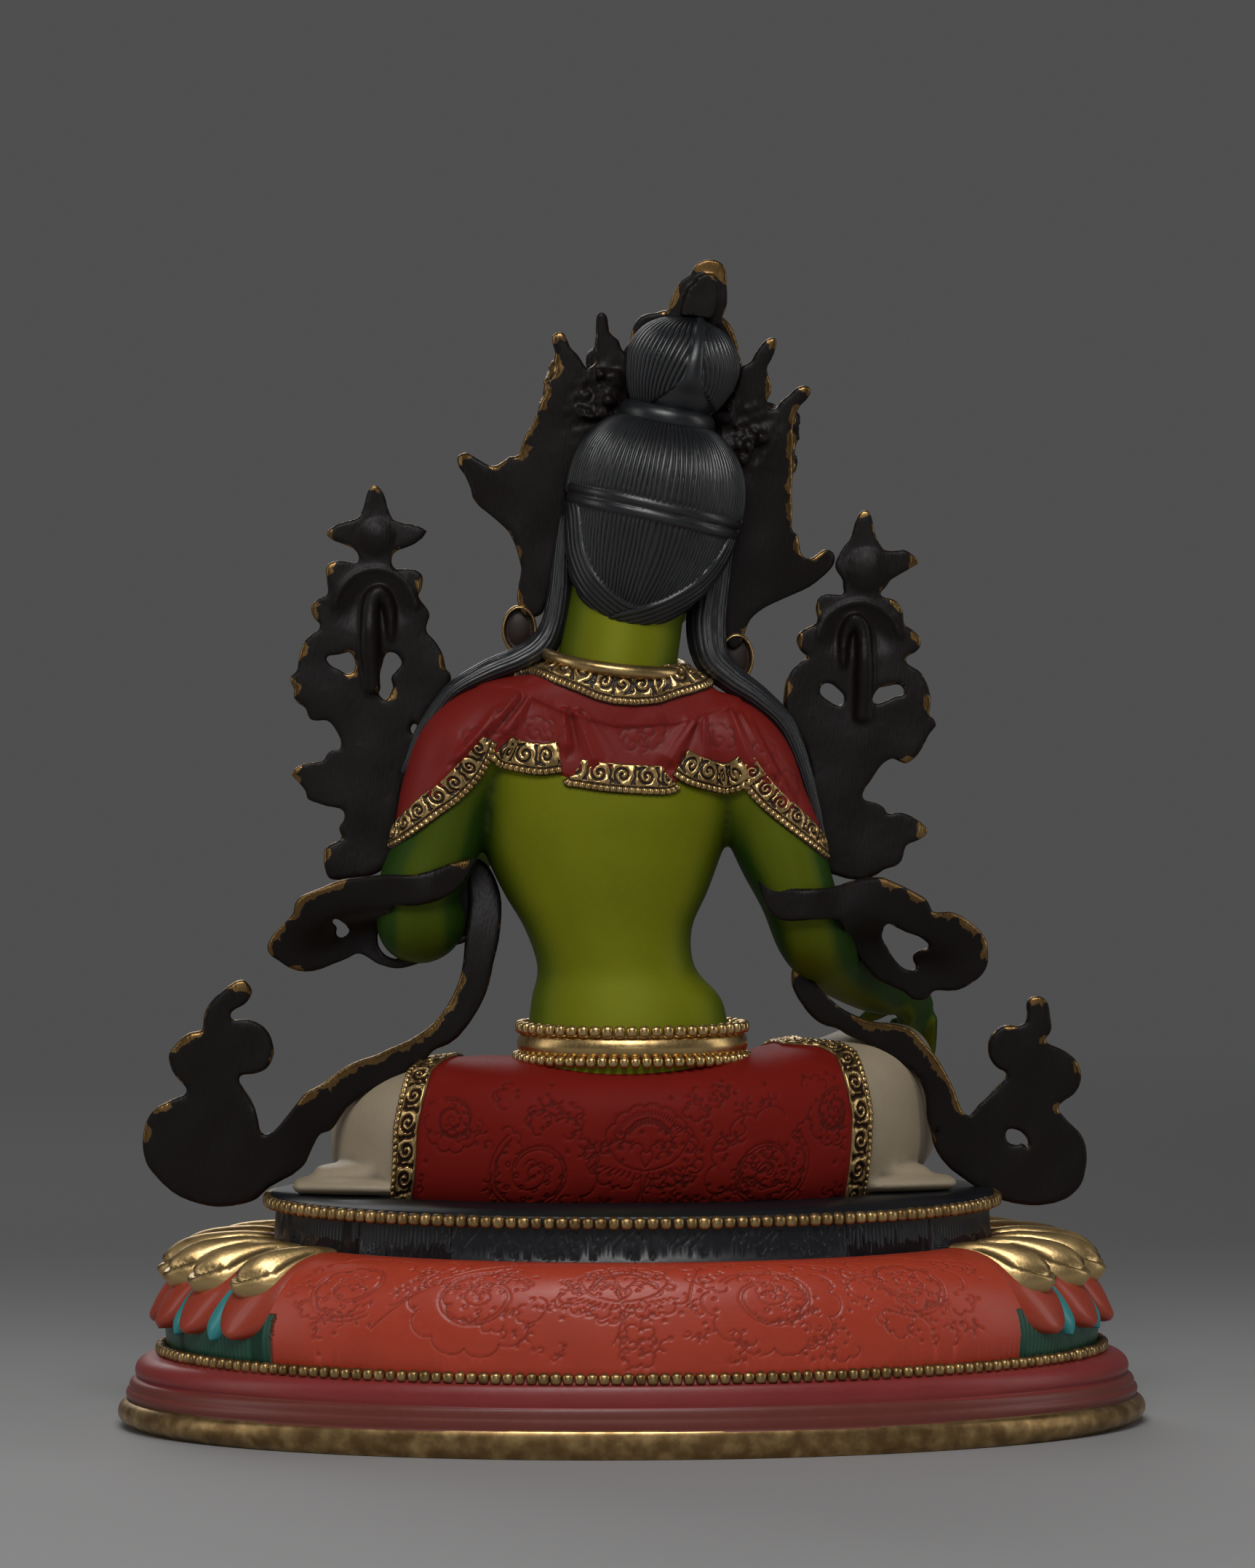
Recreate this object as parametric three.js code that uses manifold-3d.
// A seated Tara of cast and painted copper alloy on an oval lotus base.
// Millimetres, +Z up. The figure faces -Y and +X is on its own left.
// The origin is the centre of the base's flat underside.
import * as THREE from "three";
import { mergeVertices } from "three/addons/utils/BufferGeometryUtils.js";
import Module from "manifold-3d";

const wasm = await Module();
wasm.setup();
const { Manifold, Mesh } = wasm;

// Driving dimensions of the base.
const RIM_WIDTH = 285;
const RIM_DEPTH = 180;
const RIM_HEIGHT = 7.2;
const PLINTH_STEP = 2.6;
const PLINTH_HEIGHT = 6.4;
const ROLL_STEP = 4.2;
const ROLL_HEIGHT = 5.8;
const BEAD_HEIGHT = 3.4;
const DOME_STEP = 8.4;
const DOME_HEIGHT = 28.6;
const NECK_HEIGHT = 10;
const NECK_STEP = 1.8;
const DECK_HEIGHT = 2.6;
const DECK_WIDTH = 201;
const DECK_DEPTH = 151;
const PETAL_COUNT = 31;
const PLAIN_BACK_PETALS = 9;
const PETAL_RISE = 2;
const FOOTREST_RADIUS = 19;
const FOOTREST_HEIGHT = 20;

// Driving dimensions of the figure and what is fastened to it.
const FIGURE_HEIGHT = 256;
const LEAF_THICKNESS = 2.6;
const LEAF_LEAN = 9;
const SPRAY_THICKNESS = 2.6;
const SPRAY_LEAN = 4;
const JOINT_GAP = 0.35;
const FINEST = 0.3;

const BASE_HEIGHT =
  RIM_HEIGHT + PLINTH_HEIGHT + ROLL_HEIGHT + BEAD_HEIGHT + DOME_HEIGHT + NECK_HEIGHT + DECK_HEIGHT;

// The figure's coordinates are parts of its height: 256 of them from the deck to the top jewel.
const PART_COUNT = 256;
const PART = FIGURE_HEIGHT / PART_COUNT;
const DECK_X = DECK_WIDTH / 2 / PART;
const DECK_Y = DECK_DEPTH / 2 / PART;

// A closed geometry as a solid, its faces turned outwards.
function solidOf(geometry) {
  geometry.deleteAttribute("normal");
  geometry.deleteAttribute("uv");
  const merged = mergeVertices(geometry, 1e-4);
  const vertProperties = new Float32Array(merged.getAttribute("position").array);
  const triVerts = new Uint32Array(merged.index.array);
  const solid = new Manifold(new Mesh({ numProp: 3, vertProperties, triVerts }));
  if (solid.volume() > 0) return solid;
  return new Manifold(new Mesh({ numProp: 3, vertProperties, triVerts: triVerts.toReversed() }));
}

// A solid through closed rings of points, with a fan on each end.
function skinned(rings) {
  const count = rings[0].length;
  const middle = (ring) => [0, 1, 2].map((k) => ring.reduce((sum, p) => sum + p[k], 0) / count);
  const points = [...rings.flat(), middle(rings[0]), middle(rings.at(-1))];
  const [first, last] = [points.length - 2, points.length - 1];
  const top = (rings.length - 1) * count;
  const faces = [];
  for (let i = 0; i < count; i++) {
    const j = (i + 1) % count;
    for (let r = 0; r < top; r += count) {
      faces.push(r + i, r + j, r + count + j);
      faces.push(r + i, r + count + j, r + count + i);
    }
    faces.push(first, j, i);
    faces.push(last, top + i, top + j);
  }
  const geometry = new THREE.BufferGeometry();
  geometry.setAttribute("position", new THREE.Float32BufferAttribute(points.flat(), 3));
  geometry.setIndex(faces);
  return solidOf(geometry);
}

// A smooth curve through rows of numbers, with so many steps from row to row.
function smooth(rows, steps) {
  const at = (i) => rows[Math.min(Math.max(i, 0), rows.length - 1)];
  const made = [];
  for (let i = 0; i + 1 < rows.length; i++) {
    for (let k = 0; k < steps; k++) {
      const t = k / steps;
      const [p, q, r, s] = [at(i - 1), at(i), at(i + 1), at(i + 2)];
      made.push(
        q.map(
          (_, c) =>
            0.5 *
            (2 * q[c] +
              (r[c] - p[c]) * t +
              (2 * p[c] - 5 * q[c] + 4 * r[c] - s[c]) * t * t +
              (3 * q[c] - p[c] - 3 * r[c] + s[c]) * t * t * t),
        ),
      );
    }
  }
  made.push(rows.at(-1));
  return made;
}

// A point on a superellipse: power 2 is an ellipse, and a higher power is squarer.
function rounded(angle, power) {
  const [c, s] = [Math.cos(angle), Math.sin(angle)];
  const bend = (v) => Math.sign(v) * Math.abs(v) ** (2 / power);
  return [bend(c), bend(s)];
}

// A limb, cord or ribbon along stations of [x, y, z, half width, half thickness].
// Its thickness lies along `across` and its width square to that.
function swept(stations, { across = [0, 0, 1], sides = 8, steps = 1, power = 2, grow = 0 } = {}) {
  const rows = smooth(stations, steps);
  const rings = rows.map(([x, y, z, wide, thick], i) => {
    const [before, after] = [rows[Math.max(i - 1, 0)], rows[Math.min(i + 1, rows.length - 1)]];
    const along = new THREE.Vector3(after[0] - before[0], after[1] - before[1], after[2] - before[2]);
    along.normalize();
    const thin = new THREE.Vector3(...across);
    thin.addScaledVector(along, -thin.dot(along)).normalize();
    const side = new THREE.Vector3().crossVectors(along, thin);
    const end = i === 0 ? -grow : i === rows.length - 1 ? grow : 0;
    return Array.from({ length: sides }, (_, k) => {
      const [c, s] = rounded((2 * Math.PI * (k + 0.5)) / sides, power);
      const p = new THREE.Vector3(x, y, z).addScaledVector(along, end);
      p.addScaledVector(side, c * (wide + grow)).addScaledVector(thin, s * (thick + grow));
      return [p.x, p.y, p.z];
    });
  });
  return skinned(rings);
}

// Level oval sections stacked up, from rows of [z, x, y, half width, half depth].
function stacked(levels, { sides = 12, power = 2, grow = 0 } = {}) {
  const rings = levels.map(([z, x, y, wide, deep], i) => {
    const end = i === 0 ? -grow : i === levels.length - 1 ? grow : 0;
    return Array.from({ length: sides }, (_, k) => {
      const [c, s] = rounded((2 * Math.PI * (k + 0.5)) / sides, power);
      return [x + c * (wide + grow), y + s * (deep + grow), z + end];
    });
  });
  return skinned(rings);
}

// An egg round a centre, with three half axes.
function ball([x, y, z], [rx, ry, rz], { sides = 12, grow = 0 } = {}) {
  const geometry = new THREE.SphereGeometry(1, sides, Math.ceil(sides * 0.6));
  geometry.rotateX(Math.PI / 2);
  geometry.scale(rx + grow, ry + grow, rz + grow);
  geometry.translate(x, y, z);
  return solidOf(geometry);
}

// A block between two corners.
function slab(low, high) {
  const size = high.map((v, i) => v - low[i]);
  const geometry = new THREE.BoxGeometry(...size);
  geometry.translate(...low.map((v, i) => v + size[i] / 2));
  return solidOf(geometry);
}

// A flat casting in the X-Z plane from a closed outline, `thick` deep about y = 0.
function plate(outline, thick, steps = 1) {
  const closed = smooth([outline.at(-1), ...outline, outline[0], outline[1]], steps);
  const points = closed.slice(steps, steps * (outline.length + 1));
  const shape = new THREE.Shape(points.map(([x, z]) => new THREE.Vector2(x, z)));
  const geometry = new THREE.ExtrudeGeometry(shape, { depth: thick, bevelEnabled: false });
  geometry.translate(0, 0, -thick / 2);
  geometry.rotateX(Math.PI / 2);
  return solidOf(geometry);
}

const joined = (solids) => Manifold.union(solids);

// The main body of a solid, without the crumbs and pockets that joining and cutting leave.
function largest(solid) {
  return solid.decompose().reduce((best, part) => (part.volume() > best.volume() ? part : best));
}

// The base, from the floor up: rim, plinth, roll, bead groove, dome, neck and deck.
function baseProfile() {
  const rimX = RIM_WIDTH / 2;
  const plinthTop = RIM_HEIGHT + PLINTH_HEIGHT;
  const rollTop = plinthTop + ROLL_HEIGHT;
  const domeFoot = rollTop + BEAD_HEIGHT;
  const domeTop = domeFoot + DOME_HEIGHT;
  const plinthX = rimX - PLINTH_STEP;
  const rollX = plinthX - ROLL_STEP;
  const domeX = rollX - DOME_STEP;
  const neckX = DECK_WIDTH / 2 - NECK_STEP;
  const rows = [
    [0, rimX - 6],
    [RIM_HEIGHT * 0.12, rimX - 2],
    [RIM_HEIGHT * 0.5, rimX],
    [RIM_HEIGHT * 0.85, rimX - 0.9],
    [RIM_HEIGHT, plinthX],
    [plinthTop, plinthX - 2.2],
    [plinthTop + 0.1, rollX + 0.6],
    [plinthTop + ROLL_HEIGHT / 2, rollX + 0.4],
    [rollTop, rollX - 2.4],
    [domeFoot, domeX + 1],
  ];
  const bulge = 0.2;
  for (let i = 1; i <= 5; i++) {
    const turn = ((i / 5) * Math.PI) / 2;
    const rise = bulge + (1 - bulge) * Math.sin(turn);
    rows.push([domeFoot + DOME_HEIGHT * rise, neckX + 1 + (domeX + 1 - neckX) * Math.cos(turn)]);
  }
  rows.push(
    [domeTop + 0.1, neckX],
    [domeTop + NECK_HEIGHT, neckX - 0.6],
    [domeTop + NECK_HEIGHT + 0.3, DECK_WIDTH / 2],
    [BASE_HEIGHT, DECK_WIDTH / 2],
  );
  return { rows, domeFoot, domeTop, domeX, neckX };
}

// Half the depth that goes with a half width: the plan grows rounder towards the deck.
function halfDepth(halfWidth) {
  const share = (halfWidth - DECK_WIDTH / 2) / (RIM_WIDTH / 2 - DECK_WIDTH / 2);
  const ratio = DECK_DEPTH / DECK_WIDTH + share * (RIM_DEPTH / RIM_WIDTH - DECK_DEPTH / DECK_WIDTH);
  return halfWidth * ratio;
}

// One petal hangs down the dome from the neck, with a boss on its shoulder and a lifted tip.
function petal(angle, profile, grow) {
  const { domeFoot, domeTop, domeX, neckX } = profile;
  const onDome = (share, rise) => {
    const turn = (1 - share) * (Math.PI / 2);
    const wide = neckX + (domeX + 1 - neckX) * Math.cos(turn) + rise;
    const z = domeFoot + (domeTop - domeFoot) * (0.2 + 0.8 * Math.sin(turn)) + rise * Math.sin(turn);
    return [Math.cos(angle) * wide, Math.sin(angle) * halfDepth(wide), z];
  };
  const rows = [
    [0.02, -2.2, 2.8, 2.6],
    [0.34, PETAL_RISE - 3.4, 6.2, 3.4],
    [0.72, PETAL_RISE - 2.2, 8.2, 3.2],
    [0.99, PETAL_RISE - 1.2, 3.6, 1.8],
  ];
  const stations = rows.map(([share, rise, wide, thick]) => [...onDome(share, rise), wide, thick]);
  const outwards = [Math.cos(angle), Math.sin(angle), 0.45];
  return swept(stations, { across: outwards, sides: 5, grow });
}

// The right foot treads on a small lotus that a stalk carries out from the base's front.
const FOOT = { x: -31, y: -DECK_Y - 27, z: -21 };
const footrestTop = BASE_HEIGHT + FOOT.z * PART;
const footrestAt = [FOOT.x * PART, FOOT.y * PART];

function footrest(grow) {
  const [x, y] = footrestAt;
  const shares = [
    [0, 0.42],
    [0.3, 0.62],
    [0.62, 0.94],
    [0.86, 1],
    [1, 0.9],
  ];
  const foot = footrestTop - FOOTREST_HEIGHT;
  const rows = shares.map(([up, out]) => [
    foot + up * FOOTREST_HEIGHT,
    x,
    y,
    out * FOOTREST_RADIUS,
    out * FOOTREST_RADIUS,
  ]);
  const inside = -halfDepth(DECK_WIDTH / 2) + 6;
  const deep = FOOTREST_HEIGHT * 0.42;
  const stalk = [
    [x, inside, foot + deep, FOOTREST_RADIUS * 0.7, deep],
    [x, y, foot + deep, FOOTREST_RADIUS * 0.42, deep * 0.8],
  ];
  return [stacked(rows, { sides: 14, grow }), swept(stalk, { grow })];
}

function lotusBase(grow) {
  const profile = baseProfile();
  const body = stacked(
    profile.rows.map(([z, wide]) => [z, 0, 0, wide, halfDepth(wide)]),
    { sides: 28, grow },
  );
  const pitch = (2 * Math.PI) / PETAL_COUNT;
  const petals = [];
  const last = (PETAL_COUNT - PLAIN_BACK_PETALS - 1) / 2;
  for (let i = -last; i <= last; i++) petals.push(petal(-Math.PI / 2 + i * pitch, profile, grow));
  const made = joined([body, ...petals, ...footrest(grow)]);
  return made.add(made.translate(0, 0, grow)).trimByPlane([0, 0, 1], 0);
}

// One smooth mass of hips and thighs from knee to knee, the folded left shin in front of it,
// and the right leg stepping down over the deck's edge.
function legs(grow) {
  const seat = [
    [81.5, -37, 8, 3.5, 6],
    [79.5, -33, 8, 8.5, 12.5],
    [74, -24, 9, 13.5, 17],
    [62, -8, 12, 19.5, 20.5],
    [47, 5, 15.5, 23.5, 22],
    [27, 12, 16, 25.5, 22],
    [2, 14, 16, 26, 22],
    [-24, 13, 17, 25.5, 22.5],
    [-44, 5, 18, 23.5, 24],
    [-57, -10, 18.5, 20, 23.5],
    [-65, -27, 19, 15, 20],
    [-68, -39, 20, 9, 13],
    [-69, -44, 20, 4, 6],
  ];
  return [
    swept(seat, { sides: 12, power: 2.7, grow }),
    swept(
      [
        [72, -32, 11, 10, 10],
        [46, -50, 9.5, 10, 9],
        [18, -56, 9, 8, 8],
        [-2, -54, 8, 6.5, 6.5],
        [-16, -48, 7, 6, 4.5],
        [-27, -44, 6, 4, 3],
      ],
      { sides: 8, grow },
    ),
    swept(
      [
        [-65, -34, 21, 12, 13],
        [-56, -DECK_Y * 0.82, 16, 10, 10.5],
        [-44, -DECK_Y - 9, 6, 8.6, 8.6],
        [-37, -DECK_Y - 20, -6, 6.6, 6.6],
        [FOOT.x - 4, FOOT.y + 3, FOOT.z + 6, 5.6, 6],
      ],
      { across: [0, -0.6, 0.8], sides: 8, grow },
    ),
    swept(
      [
        [FOOT.x - 5, FOOT.y + 8, FOOT.z + 4, 5, 4.4],
        [FOOT.x - 2, FOOT.y - 2, FOOT.z + 3.6, 6.4, 4],
        [FOOT.x + 3, FOOT.y - 13, FOOT.z + 2.4, 6, 2.4],
        [FOOT.x + 4, FOOT.y - 17, FOOT.z + 2, 4.4, 1.8],
      ],
      { sides: 6, grow },
    ),
  ];
}

const TORSO = [
  [30, 2, 12, 31, 22],
  [47, 2.2, 12, 27.4, 18.6],
  [55, 3.9, 12, 22.4, 16.4],
  [63.5, 7.2, 11.5, 22, 15.4],
  [73, 8.8, 10.5, 25, 16],
  [83, 8.6, 9, 29.6, 17.6],
  [94, 8, 7.5, 33.6, 19],
  [106, 7.6, 7, 36, 19],
  [118, 7.6, 7.5, 38, 17],
  [127, 7.6, 8, 37, 15],
  [134, 7.6, 8, 32, 14],
  [139, 7.4, 8, 25, 13.5],
  [144, 6, 8, 16, 12.5],
];

function torso(grow) {
  return [
    stacked(TORSO, { power: 2.25, grow }),
    swept(
      [
        [6.5, 8, 132, 17, 15],
        [4.8, 6, 145, 16.4, 14.5],
        [2, 3, 162, 16, 14.5],
      ],
      { across: [0, 1, 0], sides: 10, grow },
    ),
  ];
}

const breasts = (grow) =>
  [19, -6].map((x) => ball([x, -9, 99], [9.5, 7.5, 9.5], { sides: 8, grow }));

// The upper arms hang from the shoulders. The left forearm lifts to the chest, the right one
// reaches out over the knee.
const ARMS = {
  left: [
    [33, 7, 125, 12, 12],
    [44, 8, 120.5, 13.6, 13],
    [50.5, 9, 110, 12.6, 12.5],
    [54.5, 10, 96, 11.8, 12],
    [59.5, 11, 84, 11.3, 11],
    [61.5, 8, 73.5, 10.8, 10],
    [57, -8, 75, 9.4, 9.4],
    [49, -24, 84, 8, 8],
    [41, -35, 94, 6, 5.6],
  ],
  right: [
    [-18, 7, 122, 12, 12],
    [-29, 8, 117.5, 13.6, 13],
    [-36, 9, 107, 12.8, 12.5],
    [-41, 10, 94, 12, 12],
    [-44.5, 10.5, 82, 11, 11],
    [-48, 7, 70, 10.6, 10],
    [-56, -10, 63, 9.4, 9.4],
    [-66, -28, 55, 7.8, 7.8],
    [-72, -39, 50, 6, 5.6],
  ],
};

// A finger or thumb from its knuckle by a length and two bearings.
function finger([x, y, z], [dx, dy, dz], length, radius, grow) {
  const size = Math.hypot(dx, dy, dz);
  const [ux, uy, uz] = [dx / size, dy / size, dz / size].map((v) => v * length);
  const curl = length * 0.1;
  return swept(
    [
      [x, y, z, radius, radius],
      [x + ux * 0.55, y + uy * 0.55 - curl, z + uz * 0.55, radius * 0.95, radius * 0.95],
      [x + ux, y + uy, z + uz, radius * 0.6, radius * 0.6],
    ],
    { across: [0.3, 1, 0.1], sides: 5, grow },
  );
}

function hands(grow) {
  const flat = { across: [0, 1, 0.2], sides: 8, grow };
  const left = [
    swept(
      [
        [41.5, -34, 93, 5.4, 5],
        [39, -39, 101, 7.6, 4],
        [38, -41, 109, 8, 3.4],
      ],
      flat,
    ),
    finger([42.5, -41, 108], [0.2, -0.1, 1], 16, 2.1, grow),
    finger([38.5, -41, 109], [0, -0.1, 1], 17.5, 2.1, grow),
    finger([34.5, -42, 108], [-0.3, -1, 0.4], 11, 2.2, grow),
    finger([45.5, -40, 106], [0.5, -0.1, 1], 13.5, 1.9, grow),
    finger([33, -40, 101], [-0.2, -1.4, 0.9], 12, 2.5, grow),
  ];
  const palm = { across: [-0.3, 1, 0.6], sides: 8, grow };
  const right = [
    swept(
      [
        [-71.6, -38, 50.4, 5.4, 5],
        [-76.4, -45, 46, 7.6, 4],
        [-78.6, -49.5, 39.5, 7.6, 3.4],
      ],
      palm,
    ),
    finger([-73.2, -50, 39], [0.25, -0.35, -1], 14, 2.2, grow),
    finger([-77, -50.5, 38], [0, -0.35, -1], 15, 2.2, grow),
    finger([-80.6, -50.5, 38.4], [-0.2, -0.35, -1], 14, 2.1, grow),
    finger([-84, -49, 40], [-0.4, -0.35, -1], 11.5, 1.9, grow),
    finger([-71.6, -46, 46], [0.9, -0.5, -0.5], 11, 2.5, grow),
  ];
  return [...left, ...right];
}

function arms(grow) {
  const options = { across: [0, 1, 0], sides: 8, grow };
  return [swept(ARMS.left, options), swept(ARMS.right, options)];
}

// The cape and the collar lie on shoulders, neck and arms: each is that skin grown by the
// thickness of the cloth and kept where its outline falls, seen from behind.
const HEM = [
  [67, 95],
  [54, 104],
  [43, 113],
  [40, 119],
  [32, 117],
  [24, 115],
  [20, 110],
  [6, 109],
  [-9, 109],
  [-12, 114],
  [-21, 110],
  [-31, 111],
  [-40, 101],
  [-54, 90],
];
const COLLAR = [
  [34, 143],
  [20, 136],
  [6, 133],
  [-10, 133.5],
  [-27, 136.5],
  [-20, 143],
  [-10, 146],
  [6, 145],
  [25, 149],
];

function garments(grow) {
  const worn = (thick) => joined([...torso(thick + grow), ...arms(thick + grow)]);
  const cut = (outline) => plate(outline, 2 * PART_COUNT);
  const back = slab([-100, -4, 60], [100, 80, 170]);
  const within = cut([...HEM, [-90, 92], [-90, 170], [90, 170], [90, 95]]);
  const edging = cut([...HEM, ...HEM.toReversed().map(([x, z]) => [x, z + 8.5])]);
  const belt = [
    [36.5, 2, 12, 31.5, 23],
    [38, 2, 12, 33.4, 24.6],
    [46, 2, 12, 32, 22.8],
    [47.5, 2, 12, 29, 20],
  ];
  return [
    worn(1.4).intersect(within).intersect(back),
    worn(2.3).intersect(edging).intersect(back),
    worn(2.8).intersect(cut(COLLAR)),
    stacked(belt, { sides: 18, grow }),
  ];
}

// The skirt cloth across the back ends in a raised border down each thigh.
function skirtBorders(grow) {
  const trim = { sides: 5, grow };
  return [
    swept(
      [
        [55, 8, 37, 3, 1.6],
        [61, 14, 31, 3.4, 1.6],
        [65, 14, 18, 3.6, 1.8],
        [66, 9, 1, 3.6, 1.8],
      ],
      { ...trim, across: [0.7, 0.7, 0.2] },
    ),
    swept(
      [
        [-46, 6, 42, 3, 1.6],
        [-57, 9, 37, 3.4, 1.6],
        [-62, 11, 20, 3.6, 1.8],
        [-60, 9, 1, 3.6, 1.8],
      ],
      { ...trim, across: [-0.7, 0.7, 0.2] },
    ),
  ];
}

// The long scarf crosses behind each elbow and loops out, and its tail falls over the thigh
// to a curled end beyond the deck.
const CURL_Y = -7;
const SCARF = {
  left: {
    loop: [
      [42, 8, 88, 3.4],
      [48, 20, 87, 3.8],
      [60, 23.5, 84.5, 3.8],
      [72, 19, 83, 4.2],
      [84, 9, 80.4, 5.2],
      [92.5, 2, 72.5, 7],
      [91, -2, 66, 5.4],
      [80.5, -4, 65, 3.8],
      [70, -4, 69, 3.8],
    ],
    tail: [
      [40, 1, 88, 3],
      [38.5, 6, 78, 3.4],
      [39.5, 8, 69, 3.6],
      [44, 9, 58, 4],
      [50, 9, 46, 4.4],
      [60, 8, 36.5, 4.8],
      [71, 4, 30.5, 5.2],
      [84, -1, 22, 5.6],
      [95, -5, 13.5, 7],
      [DECK_X + 6, -7, 8.5, 9],
    ],
    lobes: [
      [DECK_X + 18.4, 12.2, 16, 15.4],
      [DECK_X + 12.4, 38.6, 14.4, 7.4],
      [DECK_X + 14, 43.6, 9, 6],
      [DECK_X + 11.6, 50, 5.8, 3.8],
    ],
    hook: [
      [DECK_X + 16, 20, 9],
      [DECK_X + 12, 33, 6.4],
      [DECK_X + 11, 47, 4.6],
      [DECK_X + 6.4, 56, 3],
    ],
    hole: null,
  },
  right: {
    loop: [
      [-33, 6, 84, 4.2],
      [-38, 20, 82, 4.6],
      [-47, 23, 80, 4.4],
      [-58, 17, 82, 4.8],
      [-68, 10, 81, 5.4],
      [-78, 2, 76, 6],
      [-88, -5, 69, 6.8],
      [-89.5, -9, 61.5, 6.2],
      [-80, -10, 58.5, 4.6],
      [-71, -7, 62.5, 3.8],
      [-62, 0, 73, 3.6],
    ],
    tail: [
      [-44, 2, 66, 3],
      [-47, 4, 54, 4],
      [-58, 1, 47.5, 4.6],
      [-71, -2, 43, 5],
      [-80, -4, 32, 5.4],
      [-87, -6, 19, 6],
      [-DECK_X + 5, -7, 9, 7.4],
      [-DECK_X - 4, -7, 7, 9],
    ],
    lobes: [
      [-DECK_X - 8.6, 9.6, 16.2, 14.6],
      [-DECK_X - 12, 33.6, 12.4, 8.6],
      [-DECK_X - 4.6, 38.6, 5.6, 5],
    ],
    hook: [
      [-DECK_X - 8, 20, 8],
      [-DECK_X - 10.4, 32, 6],
      [-DECK_X - 11.6, 43, 4.4],
      [-DECK_X - 9.8, 52.5, 3.4],
    ],
    hole: [-105.4, 13.1, 2],
  },
};

function scarf(grow) {
  const flat = { across: [0, 1, 0], sides: 4, power: 8, grow };
  return Object.values(SCARF).flatMap(({ loop, tail, lobes, hook, hole }) => {
    const thick = (rows, by) => rows.map((row) => [...row, by]);
    const discs = lobes.map(([x, z, wide, high]) => {
      const grown = [wide + grow, high + grow];
      const rim = Array.from({ length: 12 }, (_, i) => {
        const turn = (i / 12) * 2 * Math.PI;
        return [x + grown[0] * Math.cos(turn), z + grown[1] * Math.sin(turn)];
      });
      return plate(rim, 3 + 2 * grow).translate(0, CURL_Y, 0);
    });
    const stem = hook.map(([x, z, wide]) => [x, CURL_Y, z, wide, 1.45]);
    const curled = joined([...discs, swept(stem, flat)]);
    const drill = hole && ball([hole[0], CURL_Y, hole[1]], [hole[2], 9, hole[2]], { sides: 8 });
    return [
      swept(thick(loop, 1.7), { ...flat, across: [0, 1, 0.15] }),
      swept(thick(tail, 1.9), flat),
      drill ? curled.subtract(drill) : curled,
    ];
  });
}

// Head and crown are built upright about the middle of the head and then leaned to its right.
const HEAD = { x: -5, y: -1, z: 184, lean: 11, crownLean: 12.5 };
const leaned = (solid, by) => solid.rotate(0, -by, 0).translate(HEAD.x, HEAD.y, HEAD.z);

function head(grow) {
  const face = [
    [-33, 0, -11, 5.5, 9],
    [-29, 0, -9, 11.5, 15],
    [-20, 0, -6.5, 17.5, 20.5],
    [-8, 0, -4, 20.5, 24],
    [6, 0, -2, 22.5, 25],
    [18, 0, 1, 22, 23.5],
    [27, 0, 3, 16, 17],
  ];
  const hair = [
    [-30, 2, 12, 6, 5],
    [-26, 1, 11, 13, 11],
    [-18, 0, 9, 19.5, 16.5],
    [-8, 0, 6, 23.4, 20.5],
    [4, 0, 4.5, 24.6, 22.5],
    [14, 0, 4, 24.2, 22.5],
    [22, 0, 4, 21, 19.5],
    [28, 0, 4.5, 14, 13],
  ];
  const topknot = [
    [25, 0, 5, 13, 13],
    [28.7, 0, 5, 13.6, 13.6],
    [32, 0, 5, 11.6, 11.6],
    [34.5, 0, 5, 12.6, 12.4],
    [40, 0, 5, 15.2, 14.4],
    [46, 0, 4.6, 15.9, 14.6],
    [52, 0, 4, 13.6, 12.6],
    [56, 0, 3.4, 9, 8.6],
    [58, 0, 3, 3.4, 3.4],
  ];
  const jewel = [
    [6.5, 55],
    [6.4, 59],
    [3.6, 66],
    [1, 71.5],
    [-1.6, 73.4],
    [-5.4, 72.4],
    [-8.4, 68],
    [-9, 63],
    [-8, 57],
  ];
  const diadem = [
    [14, 40],
    [14.4, 49],
    [12.4, 55.5],
    [6, 59],
    [-4, 62],
    [-10.7, 58.5],
    [-16, 50],
    [-16.4, 40],
  ];
  const thick = LEAF_THICKNESS + 2 * grow;
  const ears = [-1, 1].map((sign) =>
    swept(
      [
        [sign * 21, -4, 2, 3, 2],
        [sign * 23.5, -4, -6, 3.4, 2],
        [sign * 24.5, -5, -17, 2.6, 2],
        [sign * 27, -6, -26, 2.2, 1.8],
      ],
      { across: [1, 0, 0], sides: 5, grow },
    ),
  );
  const rings = [-1, 1].map((sign) => ball([sign * 29, -7, -30], [5.6, 3, 7], { sides: 8, grow }));
  const nose = swept(
    [
      [0, -27, 0, 1.6, 2],
      [0, -30, -7, 2.4, 2.4],
      [0, -29, -12, 2.8, 1.6],
    ],
    { across: [0, 1, 0], sides: 5, grow },
  );
  const round = { sides: 10, grow };
  return [
    stacked(face, round),
    stacked(hair, { ...round, power: 2.2 }),
    stacked(topknot, round),
    plate(jewel, 1.4 * thick).translate(0, 2, 0),
    plate(diadem, thick).translate(0, -10, 0),
    ...ears,
    ...rings,
    nose,
  ].map((solid) => leaned(solid, HEAD.lean));
}

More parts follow.
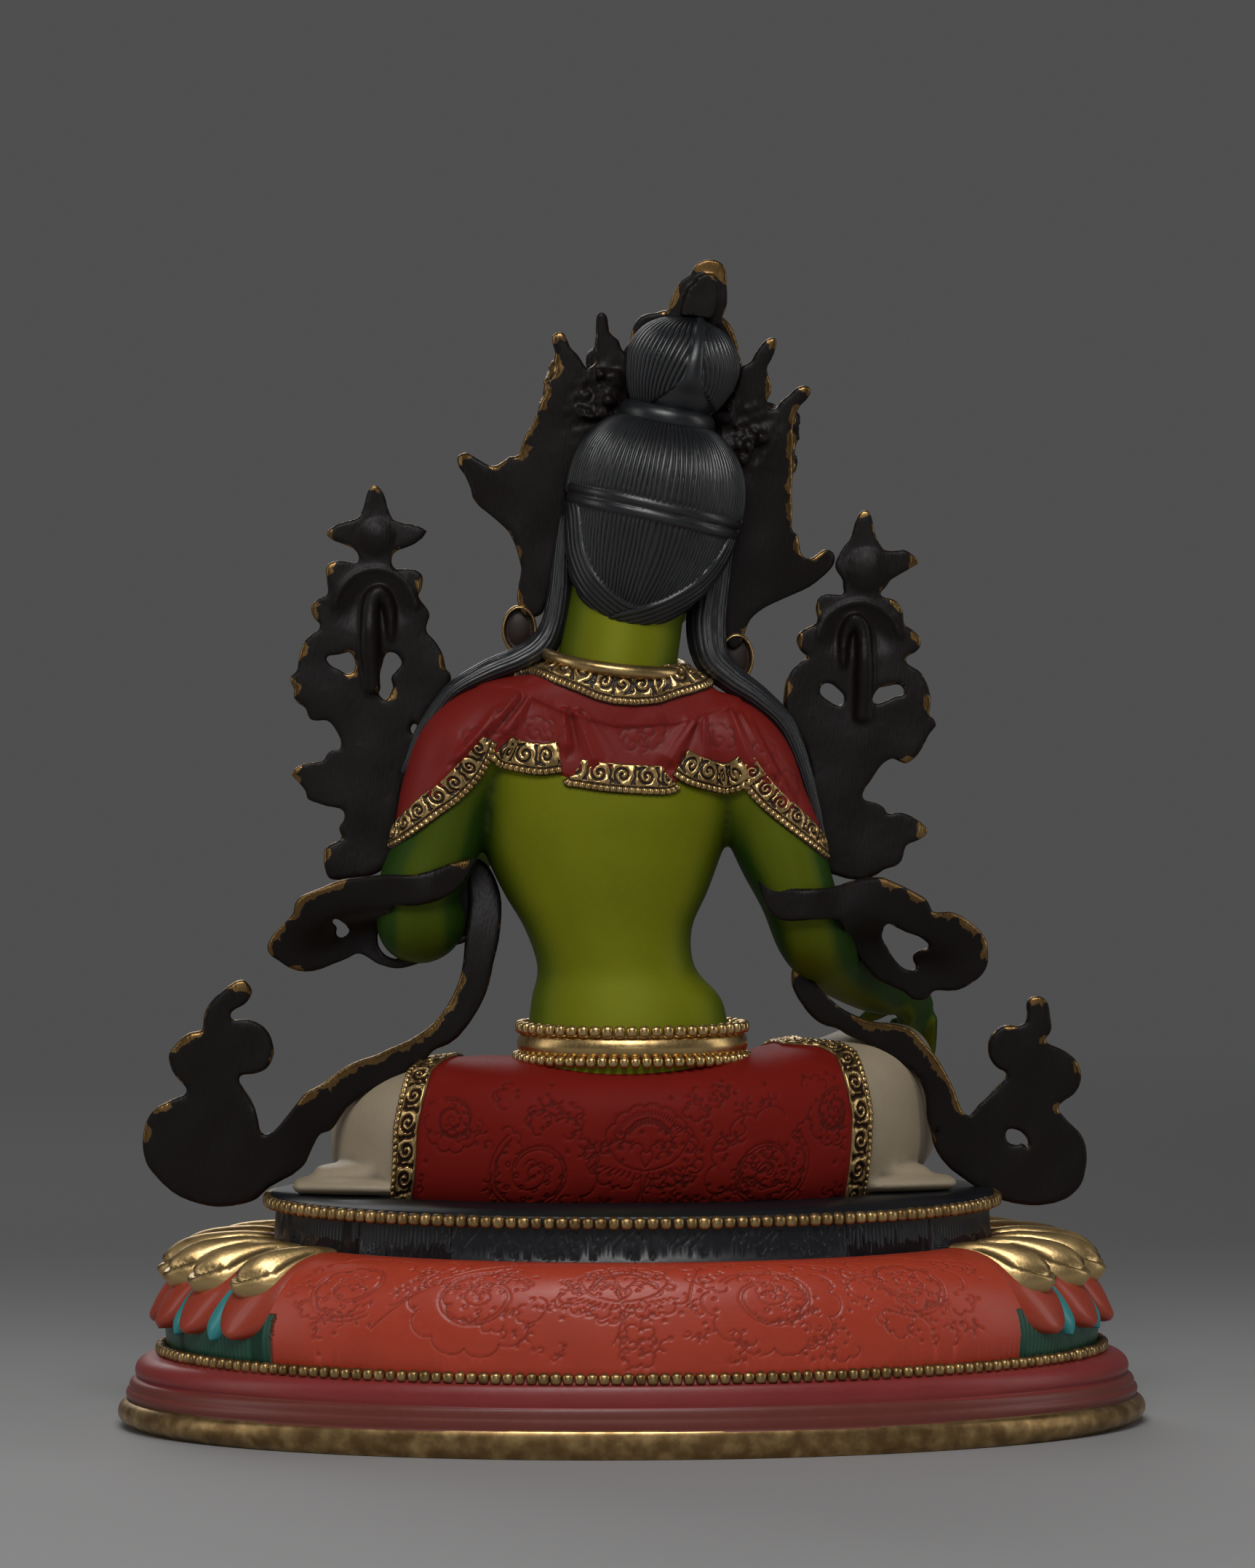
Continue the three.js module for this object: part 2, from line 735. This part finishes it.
// A tress of hair falls from behind each ear and along the top of the shoulder.
function tresses(grow) {
  const cord = { across: [0, 1, 0], sides: 5, grow };
  return [
    swept(
      [
        [19, 2, 176, 2.6, 4],
        [21, 3, 160, 3, 4],
        [24, 4, 152, 3.2, 4],
        [35, 5, 146, 3, 3.4],
        [48, 7, 140, 2.6, 3],
        [57, 8, 131, 1.8, 2.6],
      ],
      cord,
    ),
    swept(
      [
        [-22, 2, 168, 3, 4],
        [-20, 3, 156, 4, 4],
        [-21, 4, 146, 4, 4],
        [-31, 5, 136.5, 3, 3.4],
        [-42, 7, 128, 2.4, 3],
        [-50, 8, 113, 1.6, 2.6],
        [-53, 8, 97, 1.2, 2.2],
      ],
      cord,
    ),
  ];
}

// Cloth that spreads flat on the deck beside each knee.
function spreadCloth(grow) {
  return [
    [78, 13.5],
    [-76, 15],
  ].map(([x, wide]) => {
    const low = [-2, x, -5, wide, 12];
    const high = [2.4, x, -6, wide - 1, 10.5];
    return stacked([low, high], { sides: 10, grow });
  });
}

// Everything that is cast in one with the body, cut clear of the base that it sits on.
function figure(grow) {
  const whole = joined([
    ...legs(grow),
    ...torso(grow),
    ...breasts(grow),
    ...arms(grow),
    ...hands(grow),
    ...garments(grow),
    ...skirtBorders(grow),
    ...spreadCloth(grow),
    ...scarf(grow),
    ...head(grow),
    ...tresses(grow),
  ]);
  const base = lotusBase(JOINT_GAP - grow).translate(0, 0, -BASE_HEIGHT);
  return whole.subtract(base.scale(1 / PART));
}

// A pointed crown leaf with scalloped sides, standing on y = 0.
function crownLeaf(width, height) {
  const side = [
    [0.36, 0],
    [0.5, 0.24],
    [0.4, 0.4],
    [0.44, 0.56],
    [0.24, 0.72],
    [0.16, 0.86],
  ];
  const right = side.map(([x, z]) => [x * width, z * height]);
  const left = right.toReversed().map(([x, z]) => [-x, z]);
  return plate([...right, [0, height], ...left], LEAF_THICKNESS);
}

// Five leaves on a band round the brow, and a wing at each temple that falls past the ear.
function crown(clearOf) {
  const leaves = [
    [0, 31, 25, 57],
    [-34, 32.5, 22, 50],
    [34, 32.5, 22, 50],
    [-62, 33.5, 25, 39],
    [62, 33.5, 25, 39],
  ].map(([turn, radius, width, height]) =>
    crownLeaf(width, height).rotate(LEAF_LEAN, 0, 0).translate(0, -radius, 6).rotate(0, 0, turn),
  );
  const band = stacked(
    [
      [2, 0, -2, 29, 31],
      [9, 0, -2, 31, 33],
    ],
    { sides: 20 },
  ).intersect(slab([-50, -50, -20], [50, 2, 40]));
  const wing = [
    [25, -31],
    [30.5, -35],
    [33.5, -31],
    [33, -21],
    [37, -12.5],
    [45.4, -7],
    [53, -0.5],
    [53.5, 5],
    [50, 6],
    [45, 2.5],
    [41, 4],
    [39, 10],
    [36.5, 20],
    [34, 31],
    [27, 32],
    [20, 28],
    [19, 0],
  ];
  const wings = [1, -1].map((sign) => {
    const outline = wing.map(([x, z]) => [sign * x, z]);
    return plate(outline, LEAF_THICKNESS, 2).translate(0, -1, 0);
  });
  const whole = leaned(joined([band, ...leaves, ...wings]), HEAD.crownLean);
  return whole.subtract(clearOf);
}

// A lotus on its leafy stalk, standing from the elbow to beside the head. Leaves are rows of
// [x, z, half width]; a lip of lobes rounds the hollow cup and a three-pointed bud stands on it.
const SPRAY_FOOT = 86;
const SPRAY = {
  left: {
    leaves: [
      [
        [76, 86, 9],
        [73, 98, 8],
        [71.5, 112, 9.5],
        [71, 126, 12],
        [72, 138, 9],
        [72, 148, 3],
        [71.6, 160, 3],
      ],
      [
        [77, 126, 8],
        [84, 136, 8],
        [86.5, 146, 6],
        [84, 156, 5],
      ],
      [
        [66, 124, 7],
        [58, 134, 7],
        [56, 145, 5.4],
        [59, 156, 5],
      ],
      [
        [74, 103, 8],
        [84, 108, 6],
        [93, 113.5, 1.4],
      ],
      [
        [79, 89, 5],
        [84, 91, 2.5],
      ],
    ],
    cup: [71, 162, 14.5, 10],
    bud: [70.6, 172.5, 21.5],
    holes: [
      [79.6, 145.6, 3.2, 2.7],
      [66.4, 142, 3.2, 6],
      [60, 126.5, 1.5, 2.6],
    ],
  },
  right: {
    leaves: [
      [
        [-62, 86, 8],
        [-60, 96, 8.5],
        [-57, 108, 7],
        [-58.5, 119, 11],
        [-61, 130, 12],
        [-62.5, 141, 5],
        [-62.5, 152, 3],
      ],
      [
        [-66, 121, 5],
        [-75, 125, 7],
        [-77, 134, 6],
        [-72, 145, 5],
      ],
      [
        [-56, 118, 6],
        [-48.5, 128, 6.6],
        [-47.5, 138, 5.4],
        [-51, 149, 5],
      ],
      [
        [-61, 100, 6],
        [-70, 100, 5.4],
        [-79.6, 99, 1.6],
      ],
      [
        [-65, 91, 4],
        [-71.5, 92, 2.5],
      ],
    ],
    cup: [-62, 153.5, 14.6, 9.6],
    bud: [-64, 162, 25],
    holes: [
      [-54.8, 136.4, 2.9, 3],
      [-69.8, 137, 3.8, 2.8],
    ],
  },
};

function lotusSpray({ leaves, cup, bud, holes }, clearOf) {
  const thick = SPRAY_THICKNESS;
  const flat = { across: [0, 1, 0], sides: 4, steps: 2, power: 8 };
  const blades = leaves.map((rows) =>
    swept(
      rows.map(([x, z, wide]) => [x, 0, z, wide, thick / 2]),
      flat,
    ),
  );
  const [cupX, cupZ, cupWide, cupHigh] = cup;
  const lobes = Array.from({ length: 36 }, (_, i) => {
    const turn = (i / 36) * 2 * Math.PI;
    const out = 1 + 0.09 * Math.cos(6 * turn);
    return [cupX + cupWide * out * Math.sin(turn), cupZ + cupHigh * out * Math.cos(turn)];
  });
  const [budX, budZ, budHigh] = bud;
  const point = [
    [0.2, 0],
    [0.24, 0.2],
    [0.62, 0.4],
    [0.55, 0.52],
    [0.24, 0.56],
    [0.12, 0.78],
  ].map(([x, z]) => [x * budHigh, z * budHigh]);
  const outline = [...point, [0, budHigh], ...point.toReversed().map(([x, z]) => [-x, z])];
  const bent = outline.map(([x, z]) => [budX + x, budZ + z]);
  const pierced = holes.map(([x, z, wide, high]) => ball([x, 0, z], [wide, 12, high], { sides: 8 }));
  const whole = joined([...blades, plate(lobes, thick * 1.5), plate(bent, thick)]);
  const cast = whole.subtract(joined(pierced)).translate(0, 0, -SPRAY_FOOT);
  return cast.rotate(SPRAY_LEAN, 0, 0).translate(0, -2, SPRAY_FOOT).subtract(clearOf);
}

const MATERIALS = {
  base: { color: 0x9c3a26, roughness: 0.45, metalness: 0.1 },
  figure: { color: 0x55680c, roughness: 0.4, metalness: 0.45 },
  darkGilt: { color: 0x1c1716, roughness: 0.5, metalness: 0.3 },
};

function piece(name, solid, finish) {
  const { vertProperties, triVerts } = largest(solid.simplify(FINEST)).getMesh();
  const geometry = new THREE.BufferGeometry();
  geometry.setAttribute("position", new THREE.BufferAttribute(vertProperties, 3));
  geometry.setIndex(new THREE.BufferAttribute(triVerts, 1));
  geometry.computeVertexNormals();
  const mesh = new THREE.Mesh(geometry, new THREE.MeshStandardMaterial(finish));
  mesh.name = name;
  return mesh;
}

// The figure and what is fastened to it stand on the deck, at the figure's own scale.
const figureGrown = figure(JOINT_GAP);
const seated = new THREE.Group();
seated.position.z = BASE_HEIGHT;
seated.scale.setScalar(PART);
seated.add(piece("tara_figure", figure(0), MATERIALS.figure));
seated.add(piece("crown", crown(figureGrown), MATERIALS.darkGilt));
for (const [side, shape] of Object.entries(SPRAY)) {
  seated.add(piece(`lotus_spray_${side}`, lotusSpray(shape, figureGrown), MATERIALS.darkGilt));
}

const group = new THREE.Group();
group.add(piece("lotus_base", lotusBase(0), MATERIALS.base), seated);

export default group;
